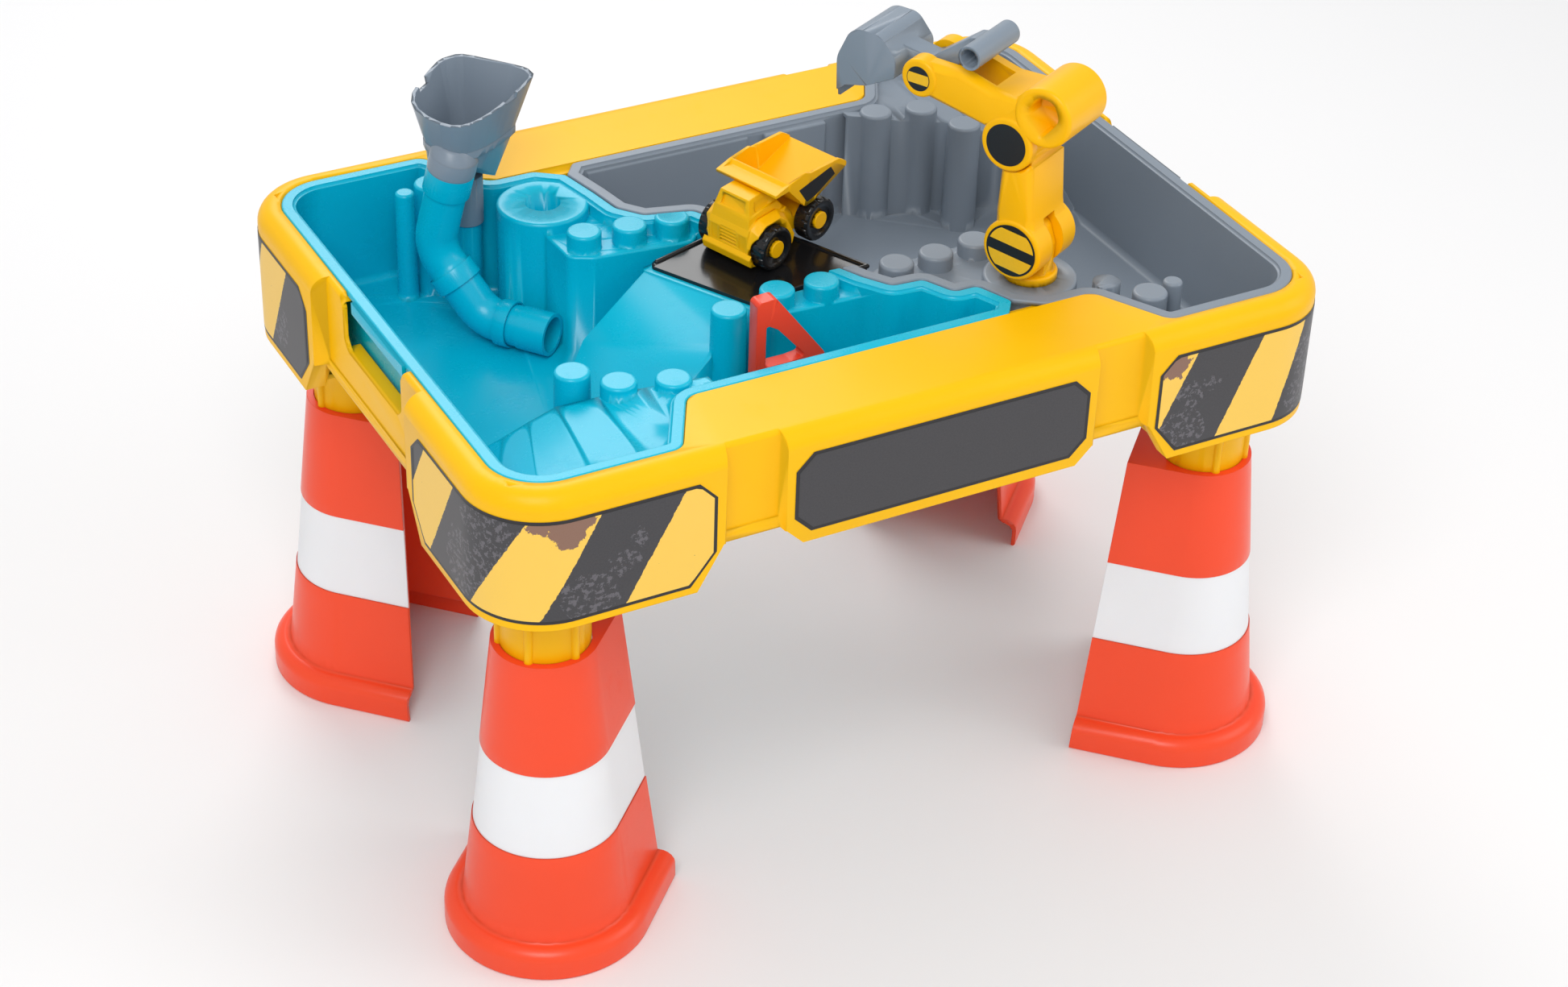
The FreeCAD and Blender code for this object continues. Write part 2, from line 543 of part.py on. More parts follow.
def funnel():
    rim = [(-257, 148, 541), (-237, 97, 536), (-202, 101, 540), (-150, 134, 549), (-152, 147, 551),
           (-189, 191, 551), (-208, 191, 549)]
    seam = [(-245, 148, 505), (-232, 110, 505), (-203, 112, 505), (-166, 138, 505), (-168, 149, 505),
            (-192, 183, 505), (-205, 183, 505)]
    low = [(-240, 147, 478), (-238, 113, 494), (-209, 112, 494), (-180, 146, 462), (-179, 158, 456),
           (-190, 182, 456), (-205, 182, 460)]
    shift = RIM - 440.0

    def ring(pts, d, dz):
        cx = sum(p[0] for p in pts) / len(pts)
        cy = sum(p[1] for p in pts) / len(pts)
        near = []
        for x, y, z in pts:
            r = math.hypot(x - cx, y - cy)
            near.append((x + (cx - x) * d / r, y + (cy - y) * d / r, z + dz + shift))
        out = []
        for i, p in enumerate(near):
            f = 0.46 if i in (0, 1, 2) else 0.22
            a = [u + (v - u) * f for u, v in zip(p, near[i - 1])]
            b = [u + (v - u) * f for u, v in zip(p, near[(i + 1) % len(near)])]
            for k in range(5 if f > 0.3 else 3):
                t = k / (4.0 if f > 0.3 else 2.0)
                out.append(tuple(a[m] * (1 - t) ** 2 + 2 * p[m] * t * (1 - t) + b[m] * t * t for m in range(3)))
        return out

    def skin(levels):
        shells = []
        for a, b in zip(levels[:-1], levels[1:]):
            n = len(a)
            for i in range(n):
                j = (i + 1) % n
                for tri in ((a[i], a[j], b[j]), (a[i], b[j], b[i])):
                    w = Part.makePolygon([V(*tri[0]), V(*tri[1]), V(*tri[2]), V(*tri[0])])
                    shells.append(Part.Face(w))
        for ends in (levels[0], levels[-1]):
            cx = sum(p[0] for p in ends) / len(ends)
            cy = sum(p[1] for p in ends) / len(ends)
            cz = sum(p[2] for p in ends) / len(ends)
            for i in range(len(ends)):
                j = (i + 1) % len(ends)
                w = Part.makePolygon([V(*ends[i]), V(*ends[j]), V(cx, cy, cz), V(*ends[i])])
                shells.append(Part.Face(w))
        solid = Part.Solid(Part.Shell(shells))
        if solid.Volume < 0:
            solid.reverse()
        return solid

    outer = skin([ring(low, 0, 0), ring(seam, 0, 0), ring(rim, 0, 0)])
    inner = skin([ring(low, 4.5, 4.5), ring(seam, 4.0, 2.0), ring(rim, 3.6, 0), ring(rim, 3.0, 12)])
    lip = skin([ring(seam, -1.4, -3), ring(seam, -1.4, 3)])
    collar = rod(TUBE_R, along(P1, P2, 15), along(P1, P2, -16)).fuse(rod(SOCKET_R, P1, along(P1, P2, -14)))
    clear = rod(SOCKET_R + 0.3, P1, along(P1, P2, 70))
    stand = cyl(POST_OUT + TURN_CLEAR, RIM - 24, RIM + 18, FUNNEL_X, FUNNEL_Y)
    body = fuse([outer.cut(clear).cut(stand), lip, collar]).cut(inner)
    body = body.cut(rod(TUBE_IN, along(P1, P2, 16), along(P1, P2, -20)))
    slope = box(-8, 8, -3.5, 3.5, 0, 20)
    for x, y, turn in ((-232, 169, 43), (-178, 116, 30)):
        notch = slope.copy()
        notch.rotate(V(0, 0, 0), V(0, 0, 1), turn)
        notch.translate(V(x, y, RIM + 100))
        body = body.cut(notch)
    post = cyl(POST_OUT, RIM - 24, RIM + 18, FUNNEL_X, FUNNEL_Y)
    bore = cyl(SLEEVE_R + TURN_CLEAR, RIM - 25, RIM + 0.3, FUNNEL_X, FUNNEL_Y)
    relief = cyl(SLEEVE_R - 2, RIM, RIM + 14, FUNNEL_X, FUNNEL_Y)
    return body, post.cut(bore).cut(relief)


# ---- excavator: built upright at its own origin, then turned onto the sand tray ----
PIVOT = V(147, -131, RIM - 2)
PIVOT_TURN = 117.7
HUB1 = (3.0, 32.5)
HUB2 = (14.4, 119.4)
TIP = (94.0, 150.0)
GRIP = (-14.0, 150.0)
BODY_Y = 28.5
CHEEK_GAP = 8.0
STICK_GAP = 14.0
ELBOW_R = 22.0           # round cheeks of the stick at its elbow
TONGUE_Y = 19.5          # half width of the boom end between those cheeks


def place_digger(shape):
    other = shape.copy()
    other.rotate(V(0, 0, 0), V(0, 0, 1), PIVOT_TURN)
    other.translate(PIVOT)
    return other


def digger_base():
    foot = cyl(21, 0, 7)
    foot = foot.makeFillet(2.0, flat_edges(foot, 7))
    spigot = cyl(BORE_R - TURN_CLEAR, -SOCKET_DEPTH + 1, 1)
    lug = upright([(-15, 0, 0), (17, 0, 0), (19, 30, 8), (HUB1[0] + 14, 50, 10), (HUB1[0] - 12, 50, 10),
                   (-16, 30, 8)], -CHEEK_GAP + 0.5, CHEEK_GAP - 0.5)
    lug = lug.cut(cyl_y(PIN_R + TURN_CLEAR, HUB1[0], HUB1[1], -20, 20))
    recess = cyl(BORE_R - 4, -SOCKET_DEPTH, -2)
    return fuse([foot, spigot, lug]).cut(recess)


def digger_boom():
    arm = bar([(-16, 34), (20, 30), (21, 60), (19, 106), (-8, 104), (-11, 62)], BODY_Y - 1.5, 5.0)
    body = arm.fuse(drum(25.0, HUB1[0], HUB1[1], BODY_Y, 2.5))
    body = body.cut(cyl_y(ELBOW_R + 1.2, HUB2[0], HUB2[1], -40, 40))
    low = box(-40, 60, -CHEEK_GAP, CHEEK_GAP, -20, HUB1[1] + 24)
    foot = box(-40, 60, -BODY_Y - 1, BODY_Y + 1, -20, 8.5)
    body = body.cut(low).cut(foot)
    tongue = cyl_y(ELBOW_R - 2.0, HUB2[0], HUB2[1], -TONGUE_Y, TONGUE_Y)
    tongue = tongue.fuse(box(-4, 18, -TONGUE_Y, TONGUE_Y, 86, HUB2[1] - 2))
    body = fuse([body, tongue])
    body = body.cut(cyl_y(PIN_R, HUB1[0], HUB1[1], -22, 22))
    return body.cut(cyl_y(PIN_R + TURN_CLEAR, HUB2[0], HUB2[1], -26, 26))


def digger_stick():
    arm = bar([(-20, 130), (8, 127), (36, 126), (94, 136), (94, 164), (62, 164), (34, 157), (12, 158),
               (-8, 172)], BODY_Y - 1.5, 5.0)
    grip = drum(24.0, GRIP[0], GRIP[1], BODY_Y, 3.0)
    tip = drum(15.5, TIP[0], TIP[1], BODY_Y, 2.5)
    elbow = drum(ELBOW_R, HUB2[0], HUB2[1], BODY_Y, 2.5)
    body = fuse([arm, grip, tip, elbow])
    slot = cyl_y(ELBOW_R - 1.2, HUB2[0], HUB2[1], -TONGUE_Y - 0.5, TONGUE_Y + 0.5)
    slot = slot.fuse(box(HUB2[0] - 30, HUB2[0] + 30, -TONGUE_Y - 0.5, TONGUE_Y + 0.5, 60, 128.5))
    body = body.cut(slot)
    for s in (-1, 1):
        pocket = upright([(-29, 152, 9), (-23, 166, 9), (-8, 167, 8), (-1, 153, 6), (-15, 134, 3)],
                         min(s * 10, s * 40), max(s * 10, s * 40))
        body = body.cut(pocket)
    fork = upright([(46, 110, 0), (120, 110, 0), (120, 180, 0), (34, 180, 0), (34, 150, 10)],
                   -STICK_GAP, STICK_GAP)
    body = body.cut(fork)
    body = body.cut(cyl_y(PIN_R, HUB2[0], HUB2[1], -26, 26))
    return body.cut(cyl_y(PIN_R, TIP[0], TIP[1], -24, 24))


def digger_bucket():
    side = [(167.5, 117, 1), (168.5, 146, 22), (156, 174, 16), (130, 174, 13), (115, 157, 10), (116, 142.5, 2),
            (141, 129, 8), (160, 124, 3)]
    bowl = upright(side, -27, 27)
    hollow = upright([(163.5, 100, 0), (164.5, 145, 19), (153.5, 170, 13), (131.5, 170, 10), (119, 156, 7),
                      (119.5, 100, 0)], -24, 24)
    bowl = bowl.cut(hollow)
    lip = wedge_y([(164, 126), (165, 113), (167, 113), (168, 126)], -25, 25)
    barrel = cyl_y(10.0, TIP[0], TIP[1], -STICK_GAP + 0.5, STICK_GAP - 0.5)
    neck = upright([(90, 141, 2), (118, 144, 0), (126, 164, 2), (96, 160, 3), (62, 186, 6), (47, 189, 5),
                    (44, 176, 5), (58, 171, 5), (84, 152, 5)], -9, 9)
    handle = cyl_y(9.5, 51, 180, -29, 29).cut(cyl_y(7.0, 51, 180, -30, -12)).cut(cyl_y(7.0, 51, 180, 12, 30))
    body = fuse([bowl, barrel, neck, handle, lip])
    return body.cut(cyl_y(PIN_R + TURN_CLEAR, TIP[0], TIP[1], -20, 20))


# ---- dump truck: built level at its own origin, then set on the bridge ----
FRONT_X = 21.0
REAR_X = FRONT_X - WHEEL_BASE
AXLE_R = 2.0
TYRE_IN = 20.5
TYRE_OUT = 34.0
TRUCK_SPOT = V(-11.5, 10.5, 0)
HEADING = math.radians(200.8)
HINGE_X = -36.0
HINGE_Z = 30.0


def place_truck(shape):
    fwd = V(math.cos(HEADING), math.sin(HEADING), 0)
    fwd = (fwd - UP * fwd.dot(UP)).normalize()
    side = UP.cross(fwd)
    z = BL.z - (UP.x * (TRUCK_SPOT.x - BL.x) + UP.y * (TRUCK_SPOT.y - BL.y)) / UP.z
    origin = V(TRUCK_SPOT.x, TRUCK_SPOT.y, z) + UP * 0.02
    other = shape.copy()
    other.Placement = FreeCAD.Placement(origin, FreeCAD.Rotation(fwd, side, UP, "ZXY"))
    return other


def truck_cab():
    core = upright([(39, 7, 2), (41, 12, 2), (39.6, 33, 3), (37, 38.5, 2), (-6, 38.5, 2), (-12, 30, 3), (-13, 24, 3),
                    (-43, 24, 3), (-43, 12, 3), (-10, 12, 2), (-8, 7, 2)], -20, 20)
    top = loft([[(37.6, -19.5, 36.5), (37.6, 19.5, 36.5), (-6, 19.5, 36.5), (-6, -19.5, 36.5)],
                [(34.6, -18, 47), (34.6, 18, 47), (1, 17, 47), (1, -17, 47)],
                [(30, -14.5, 60), (30, 14.5, 60), (9, 13, 60), (9, -13, 60)]])
    bumper = upright([(34, 7, 0), (42.5, 7.5, 2), (43.6, 15, 2), (41, 18, 1), (34, 18, 0)], -24.5, 24.5)
    fenders = []
    for s in (-1, 1):
        a = [(-10, 15), (-3, 34), (6, 42), (26, 43), (36, 38), (41, 24), (40.5, 7), (-6, 7)]
        b = [(-7, 15), (0, 31), (8, 38), (25, 39), (34, 34), (38, 22), (37.5, 8), (-4, 8)]
        fenders.append(loft([[(x, s * 19, z) for x, z in a], [(x, s * 20.4, z) for x, z in a],
                             [(x, s * 27, z) for x, z in b]]))
    body = fuse([core, top, bumper] + fenders)
    for s in (-1, 1):
        arch = cyl_y(WHEEL_R + 1.6, FRONT_X, WHEEL_R, min(s * 19.5, s * 40), max(s * 19.5, s * 40))
        body = body.cut(arch)
        rear = cyl_y(WHEEL_R + 1.6, REAR_X, WHEEL_R, min(s * 19.5, s * 40), max(s * 19.5, s * 40))
        body = body.cut(rear)
    pane = loft([[(38, -12.5, 48.5), (38, 12.5, 48.5), (36, 10.5, 57.5), (36, -10.5, 57.5)],
                 [(31.7, -12.5, 48.5), (31.7, 12.5, 48.5), (28.8, 10.5, 57.5), (28.8, -10.5, 57.5)]])
    body = body.cut(pane)
    for s in (-1, 1):
        window = upright([(8, 48, 2), (27, 48, 2), (25, 56, 2), (12, 56, 2)], min(s * 15.2, s * 30),
                         max(s * 15.2, s * 30))
        body = body.cut(window)
    for i in range(5):
        z = 20.0 + 3.0 * i
        body = body.cut(box(39.2, 44, -8, 8, z, z + 1.7))
    for s in (-1, 1):
        body = body.cut(box(39.4, 44, min(s * 11, s * 17), max(s * 11, s * 17), 20, 32))
    lug = box(HINGE_X - 5, HINGE_X + 5, -9, 9, 20, HINGE_Z + 3.5)
    body = body.fuse(lug).cut(cyl_y(1.5 + TURN_CLEAR, HINGE_X, HINGE_Z, -12, 12))
    for x in (FRONT_X, REAR_X):
        body = body.cut(cyl_y(AXLE_R + TURN_CLEAR, x, WHEEL_R, -30, 30))
    return body.removeSplitter()


def truck_bed():
    outer = loft([[(17, -31, 61.5), (17, 31, 61.5), (17, 31, 64), (17, -31, 64)],
                  [(1, -31, 60.6), (1, 31, 60.6), (1, 31, 66), (1, -31, 66)]])
    tub = upright([(2, 60.6, 0), (-16, 37.2, 3), (-26, 37.5, 8), (-66, 50, 2), (-66, 54, 3), (-58, 60, 4), (-50, 61, 3),
                   (-24, 64, 3), (-20, 66, 2), (2, 66, 2)], -31, 31)
    inner = loft([[(-14.5, -27.5, 40.5), (-14.5, 27.5, 40.5), (-27, 27.5, 41), (-27, -27.5, 41)],
                  [(1, -28.5, 68), (1, 28.5, 68), (-27, 28.5, 68), (-27, -28.5, 68)]])
    rear = loft([[(-26, -27.5, 41), (-26, 27.5, 41), (-26, 28.5, 68), (-26, -28.5, 68)],
                 [(-70, -27.5, 53.5), (-70, 27.5, 53.5), (-70, 28.5, 68), (-70, -28.5, 68)]])
    dish = upright([(18, 66.5, 0), (15, 65, 0), (4, 63.5, 2), (0.5, 66.5, 0)], -28, 28)
    body = fuse([outer, tub]).cut(inner).cut(rear).cut(dish)
    ears = []
    for s in (-1, 1):
        ear = upright([(HINGE_X - 5, HINGE_Z, 3), (HINGE_X + 5, HINGE_Z, 3), (HINGE_X + 6, 41, 0),
                       (HINGE_X - 6, 42, 0), (HINGE_X - 5, 27, 2), (HINGE_X + 5, 27, 2)][2:],
                      min(s * 9.3, s * 13), max(s * 9.3, s * 13))
        ears.append(ear)
    body = fuse([body] + ears)
    return body.cut(cyl_y(1.5, HINGE_X, HINGE_Z, -14, 14))


def tyre(x, s):
    y0 = min(s * TYRE_IN, s * TYRE_OUT)
    y1 = max(s * TYRE_IN, s * TYRE_OUT)
    body = cyl_y(WHEEL_R, x, WHEEL_R, y0, y1)
    body = body.makeFillet(2.5, [e for e in body.Edges if e.BoundBox.YMax - e.BoundBox.YMin < 1e-3])
    body = body.cut(cyl_y(12.0, x, WHEEL_R, min(s * 31.8, s * 40), max(s * 31.8, s * 40)))
    cuts = []
    for i in range(16):
        a = math.radians(22.5 * i)
        for k, shift in ((29.4, 0.0), (19.0, 11.25)):
            b = a + math.radians(shift)
            groove = Part.makeBox(2.4, 6.0, 3.0, V(-1.2, 0, WHEEL_R - 1.4))
            groove.rotate(V(0, 0, 0), V(0, 1, 0), math.degrees(b))
            groove.translate(V(x, k if s > 0 else -k - 6.0, WHEEL_R))
            cuts.append(groove)
    body = body.cut(cuts)
    return body.cut(cyl_y(AXLE_R, x, WHEEL_R, -60, 60))


def hub_caps(x):
    caps = []
    for s in (-1, 1):
        cap = cyl_y(7.2, x, WHEEL_R, min(s * 31.8, s * 34.6), max(s * 31.8, s * 34.6))
        edge = [e for e in cap.Edges if e.BoundBox.YMax - e.BoundBox.YMin < 1e-3
                and abs(abs(e.BoundBox.YMin) - 34.6) < 1e-3]
        caps.append(cap.makeFillet(0.8, edge))
    return Part.makeCompound(caps)


# ---- spade ----
def spade():
    y = -125.0
    grip = upright([(-92, 476, 4), (-92, 400, 6), (-60, 400, 5), (-56, 408, 4), (-42, 404, 6), (-32, 413, 5),
                    (-34, 421, 4), (-76, 477, 4)], y - 6, y + 6)
    hole = upright([(-84, 456, 2), (-84, 419, 3), (-62, 419, 3), (-49, 421, 2.5), (-74, 450, 2.5)], y - 9, y + 9)
    grip = grip.cut(hole)
    dents = []
    for i in range(5):
        x = -72 + 7.5 * i
        z = 472.6 - 10.1 * i
        dent = box(-1.4, 1.4, y - 8, y + 8, -1, 3)
        dent.rotate(V(0, 0, 0), V(0, 1, 0), 53.5)
        dent.translate(V(x + 1.6, 0, z + 1.2))
        dents.append(dent)
    grip = grip.cut(dents)
    blade = upright([(-98, 400, 8), (-98, 362, 10), (-75, 345, 14), (-52, 362, 10), (-52, 400, 8)], y - 6, y - 2)
    stem = upright([(-88, 408, 3), (-88, 372, 3), (-64, 372, 3), (-64, 408, 3)], y - 5, y + 2)
    shape = fuse([grip, blade, stem])
    shape.translate(V(0, 0, RIM - TRAY_DEPTH - shape.BoundBox.ZMin))
    return shape


# ---- thin printed panels ----
def panel_label(s):
    y = BUMPER_Y
    pts = [(-111, RIM - 87, 2), (111, RIM - 87, 2), (125, RIM - 73, 2), (125, RIM - 33, 2), (111, RIM - 18.5, 2),
           (-111, RIM - 18.5, 2), (-125, RIM - 33, 2), (-125, RIM - 73, 2)]
    return upright(pts, min(s * y, s * (y + LABEL_T)), max(s * y, s * (y + LABEL_T)))


def corner_label(sx, sy):
    outer = prism(rect(BUMPER_X + LABEL_T, BUMPER_Y + LABEL_T, BUMPER_R + LABEL_T), RIM - 108, RIM - 20)
    skin = outer.cut(prism(rect(BUMPER_X, BUMPER_Y, BUMPER_R), RIM - 110, RIM - 18))
    front = wedge_y([(sx * 202, RIM - 20), (sx * 188, RIM - 35), (sx * 188, RIM - 82), (sx * 209, RIM - 108),
                     (sx * 400, RIM - 108), (sx * 400, RIM - 20)], min(0, sy * 300), max(0, sy * 300))
    side = upright([(-104, RIM - 35, 0), (-118, RIM - 20, 0), (-300, RIM - 20, 0), (-300, RIM - 108, 0),
                    (-125, RIM - 108, 0), (-104, RIM - 82, 0)], 0, 400)
    side.rotate(V(0, 0, 0), V(0, 0, 1), 90)
    if side.BoundBox.Center.x * sx < 0:
        side = side.mirror(V(0, 0, 0), V(1, 0, 0))
    if side.BoundBox.Center.y * sy < 0:
        side = side.mirror(V(0, 0, 0), V(0, 1, 0))
    return skin.common(front).common(side)


def discs(items):
    solids = []
    for r, x, z in items:
        for s in (-1, 1):
            solids.append(cyl_y(r, x, z, min(s * BODY_Y, s * (BODY_Y + LABEL_T)),
                                max(s * BODY_Y, s * (BODY_Y + LABEL_T))))
    return Part.makeCompound(solids)


# ---- build every node ----
save("table_frame", table_frame())
save("water_tray", water_tray())
save("sand_tray", sand_tray())
CORNERS = (("front_left", -1, -1), ("front_right", 1, -1), ("back_left", -1, 1), ("back_right", 1, 1))
leg_shape = leg()
band_shape = leg_band()
for name, sx, sy in CORNERS:
    save("leg_" + name, place_leg(leg_shape, sx, sy))
    save("leg_band_" + name, place_leg(band_shape, sx, sy))
    save("corner_label_" + name, corner_label(sx, sy))
save("panel_label_front", panel_label(-1))
save("panel_label_back", panel_label(1))
save("bridge", bridge())
upper, lower, spout = pipes()
save("pipe_elbow_upper", upper)
save("pipe_elbow_lower", lower)
save("pipe_spout", spout)
hopper, post = funnel()
save("funnel_hopper", hopper)
save("funnel_post", post)
save("excavator_base", place_digger(digger_base()))
save("excavator_boom", place_digger(digger_boom()))
save("excavator_stick", place_digger(digger_stick()))
save("excavator_bucket", place_digger(digger_bucket()))
save("excavator_pin_low", place_digger(cyl_y(PIN_R, HUB1[0], HUB1[1], -22, 22)))
save("excavator_pin_elbow", place_digger(cyl_y(PIN_R, HUB2[0], HUB2[1], -26, 26)))
save("excavator_pin_tip", place_digger(cyl_y(PIN_R, TIP[0], TIP[1], -24, 24)))
save("boom_roundels", place_digger(discs([(21.5, HUB1[0], HUB1[1])])))
save("stick_roundels", place_digger(discs([(17.0, HUB2[0], HUB2[1]), (10.0, TIP[0], TIP[1])])))
save("truck_cab", place_truck(truck_cab()))
save("truck_bed", place_truck(truck_bed()))
save("truck_bed_pin", place_truck(cyl_y(1.5, HINGE_X, HINGE_Z, -13, 13)))
for name, x in (("front", FRONT_X), ("rear", REAR_X)):
    save("truck_" + name + "_axle", place_truck(cyl_y(AXLE_R, x, WHEEL_R, -31.8, 31.8)))
    save("truck_" + name + "_hubs", place_truck(hub_caps(x)))
    save("tyre_" + name + "_near", place_truck(tyre(x, 1)))
    save("tyre_" + name + "_far", place_truck(tyre(x, -1)))
save("spade", spade())
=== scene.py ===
import bpy
import bmesh
import json
import math
from mathutils import Matrix, Vector

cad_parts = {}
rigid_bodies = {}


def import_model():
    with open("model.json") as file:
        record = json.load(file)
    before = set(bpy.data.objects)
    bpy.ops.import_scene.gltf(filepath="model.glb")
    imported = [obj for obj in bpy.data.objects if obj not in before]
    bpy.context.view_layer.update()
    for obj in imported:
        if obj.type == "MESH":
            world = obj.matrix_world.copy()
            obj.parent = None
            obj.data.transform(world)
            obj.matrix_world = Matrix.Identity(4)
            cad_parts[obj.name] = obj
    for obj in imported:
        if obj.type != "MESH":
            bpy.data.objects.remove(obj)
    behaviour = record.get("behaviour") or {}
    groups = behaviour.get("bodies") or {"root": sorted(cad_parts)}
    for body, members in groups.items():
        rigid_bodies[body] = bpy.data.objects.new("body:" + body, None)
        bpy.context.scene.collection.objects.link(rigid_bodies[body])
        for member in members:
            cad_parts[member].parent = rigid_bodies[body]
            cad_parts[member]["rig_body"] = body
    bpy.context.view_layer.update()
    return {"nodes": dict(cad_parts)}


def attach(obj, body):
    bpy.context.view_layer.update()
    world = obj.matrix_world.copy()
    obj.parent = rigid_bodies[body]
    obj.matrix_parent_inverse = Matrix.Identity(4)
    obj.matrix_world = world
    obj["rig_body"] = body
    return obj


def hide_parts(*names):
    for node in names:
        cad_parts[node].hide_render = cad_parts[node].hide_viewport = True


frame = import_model()
nodes = frame["nodes"]
RIM = 0.440                 # height of the table rim
BUMPER_X, BUMPER_Y, BUMPER_R = 0.3585, 0.257, 0.060
LABEL_FROM_X = 0.188        # a corner label starts here on the long side
LABEL_TO_Y = 0.104          # and ends here on the short side
BORDER_W = 0.0028           # dark border of a printed label
FILM_BACK, FILM_FRONT = 0.00035, 0.00047   # how far the border and the print stand off their face
FILM_LAYERS = ((0.0, FILM_BACK, 1), (BORDER_W, FILM_FRONT, 0))   # margin, stand-off, material slot
STRIPE_TOP, STRIPE_LOW = 0.42, 0.333       # heights at which the stripes' edges are given


# ---------- materials ----------
def new_material(name):
    mat = bpy.data.materials.new(name)
    mat.use_nodes = True
    tree = mat.node_tree
    for n in list(tree.nodes):
        if n.type != "BSDF_PRINCIPLED" and n.type != "OUTPUT_MATERIAL":
            tree.nodes.remove(n)
    return mat, tree, tree.nodes["Principled BSDF"]


def math_node(tree, op, a, b=None, c=None, clamp=False):
    n = tree.nodes.new("ShaderNodeMath")
    n.operation = op
    n.use_clamp = clamp
    for i, v in enumerate((a, b, c)):
        if v is None:
            continue
        if isinstance(v, (int, float)):
            n.inputs[i].default_value = v
        else:
            tree.links.new(v, n.inputs[i])
    return n.outputs[0]


def noise(tree, scale, detail=4.0, rough=0.55, vector=None):
    n = tree.nodes.new("ShaderNodeTexNoise")
    n.inputs["Scale"].default_value = scale
    n.inputs["Detail"].default_value = detail
    n.inputs["Roughness"].default_value = rough
    if vector is not None:
        tree.links.new(vector, n.inputs["Vector"])
    return n.outputs["Fac"]


def position(tree):
    return tree.nodes.new("ShaderNodeTexCoord").outputs["Object"]


def mix_color(tree, fac, a, b):
    n = tree.nodes.new("ShaderNodeMix")
    n.data_type = "RGBA"
    if isinstance(fac, (int, float)):
        n.inputs[0].default_value = fac
    else:
        tree.links.new(fac, n.inputs[0])
    for i, v in ((6, a), (7, b)):
        if isinstance(v, tuple):
            n.inputs[i].default_value = v + (1.0,)
        else:
            tree.links.new(v, n.inputs[i])
    return n.outputs[2]


def bump(tree, bsdf, height, strength, distance, radius):
    b = tree.nodes.new("ShaderNodeBump")
    b.inputs["Strength"].default_value = strength
    b.inputs["Distance"].default_value = distance
    tree.links.new(height, b.inputs["Height"])
    if radius:
        bevel = tree.nodes.new("ShaderNodeBevel")
        bevel.samples = 4
        bevel.inputs["Radius"].default_value = radius
        tree.links.new(bevel.outputs[0], b.inputs["Normal"])
    tree.links.new(b.outputs[0], bsdf.inputs["Normal"])


def plastic(name, color, rough=0.3, grain=0.12, radius=0.0009, coat=0.0, scuff=0.08, spec=0.36):
    """Moulded plastic: faint colour drift, fine orange-peel skin, worn patches that are duller."""
    mat, tree, bsdf = new_material(name)
    p = position(tree)
    drift = noise(tree, 9.0, 3.0, 0.5, p)
    fine = noise(tree, 420.0, 3.0, 0.6, p)
    wear = noise(tree, 34.0, 6.0, 0.68, p)
    worn = math_node(tree, "MULTIPLY", math_node(tree, "SUBTRACT", wear, 0.55, clamp=True), 3.2, clamp=True)
    dark = tuple(c * 0.93 for c in color)
    light = tuple(min(1.0, c * 1.04) for c in color)
    base = mix_color(tree, drift, dark, light)
    pale = tuple(min(1.0, c * 0.90 + 0.02) for c in color)
    base = mix_color(tree, math_node(tree, "MULTIPLY", worn, scuff), base, pale)
    tree.links.new(base, bsdf.inputs["Base Color"])
    r = math_node(tree, "ADD", rough, math_node(tree, "MULTIPLY", worn, 0.16))
    r = math_node(tree, "ADD", r, math_node(tree, "MULTIPLY", fine, 0.05))
    tree.links.new(r, bsdf.inputs["Roughness"])
    bsdf.inputs["IOR"].default_value = 1.49
    bsdf.inputs["Specular IOR Level"].default_value = spec
    bsdf.inputs["Coat Weight"].default_value = coat
    bsdf.inputs["Coat Roughness"].default_value = 0.12
    bsdf.inputs["Subsurface Weight"].default_value = 0.06
    bsdf.inputs["Subsurface Radius"].default_value = (0.004, 0.003, 0.002)
    bsdf.inputs["Subsurface Scale"].default_value = 0.5
    bump(tree, bsdf, fine, grain, 0.00012, radius)
    return mat


YELLOW = plastic("yellow_plastic", (0.97, 0.52, 0.0), 0.36, spec=0.22)
YELLOW_TOY = plastic("yellow_toy_plastic", (0.98, 0.50, 0.0), 0.32, spec=0.25)
BLUE = plastic("blue_plastic", (0.0, 0.475, 0.66), 0.24)
GRAY = plastic("gray_plastic", (0.228, 0.270, 0.322), 0.32)
GRAY_TOOL = plastic("gray_tool_plastic", (0.222, 0.270, 0.328), 0.28)
ORANGE = plastic("orange_red_plastic", (0.93, 0.075, 0.022), 0.28)
WHITE = plastic("white_band_plastic", (0.86, 0.87, 0.89), 0.40)
BLACK = plastic("black_gloss_plastic", (0.008, 0.008, 0.009), 0.17, 0.12, 0.0007, 0.3, 0.03)
TYRE = plastic("black_tyre_plastic", (0.010, 0.010, 0.011), 0.20, 0.5, 0.0006, 0.2, 0.05)
RED = plastic("red_tool_plastic", (0.84, 0.058, 0.022), 0.28)
PIN = plastic("pin_plastic", (0.12, 0.14, 0.16), 0.35)


# ---------- printed film ----------
CHARCOAL = (0.028, 0.027, 0.031)
SCUFF = (0.105, 0.098, 0.112)
PRINT_YELLOW = (0.97, 0.60, 0.07)
BROWN = (0.24, 0.12, 0.075)
BORDER = (0.014, 0.013, 0.015)


def label_uv(tree):
    """The label's own coordinates in metres: the length along it, and the height above the floor."""
    uv = tree.nodes.new("ShaderNodeTexCoord").outputs["UV"]
    sep = tree.nodes.new("ShaderNodeSeparateXYZ")
    tree.links.new(uv, sep.inputs[0])
    return uv, sep.outputs[0], sep.outputs[1]


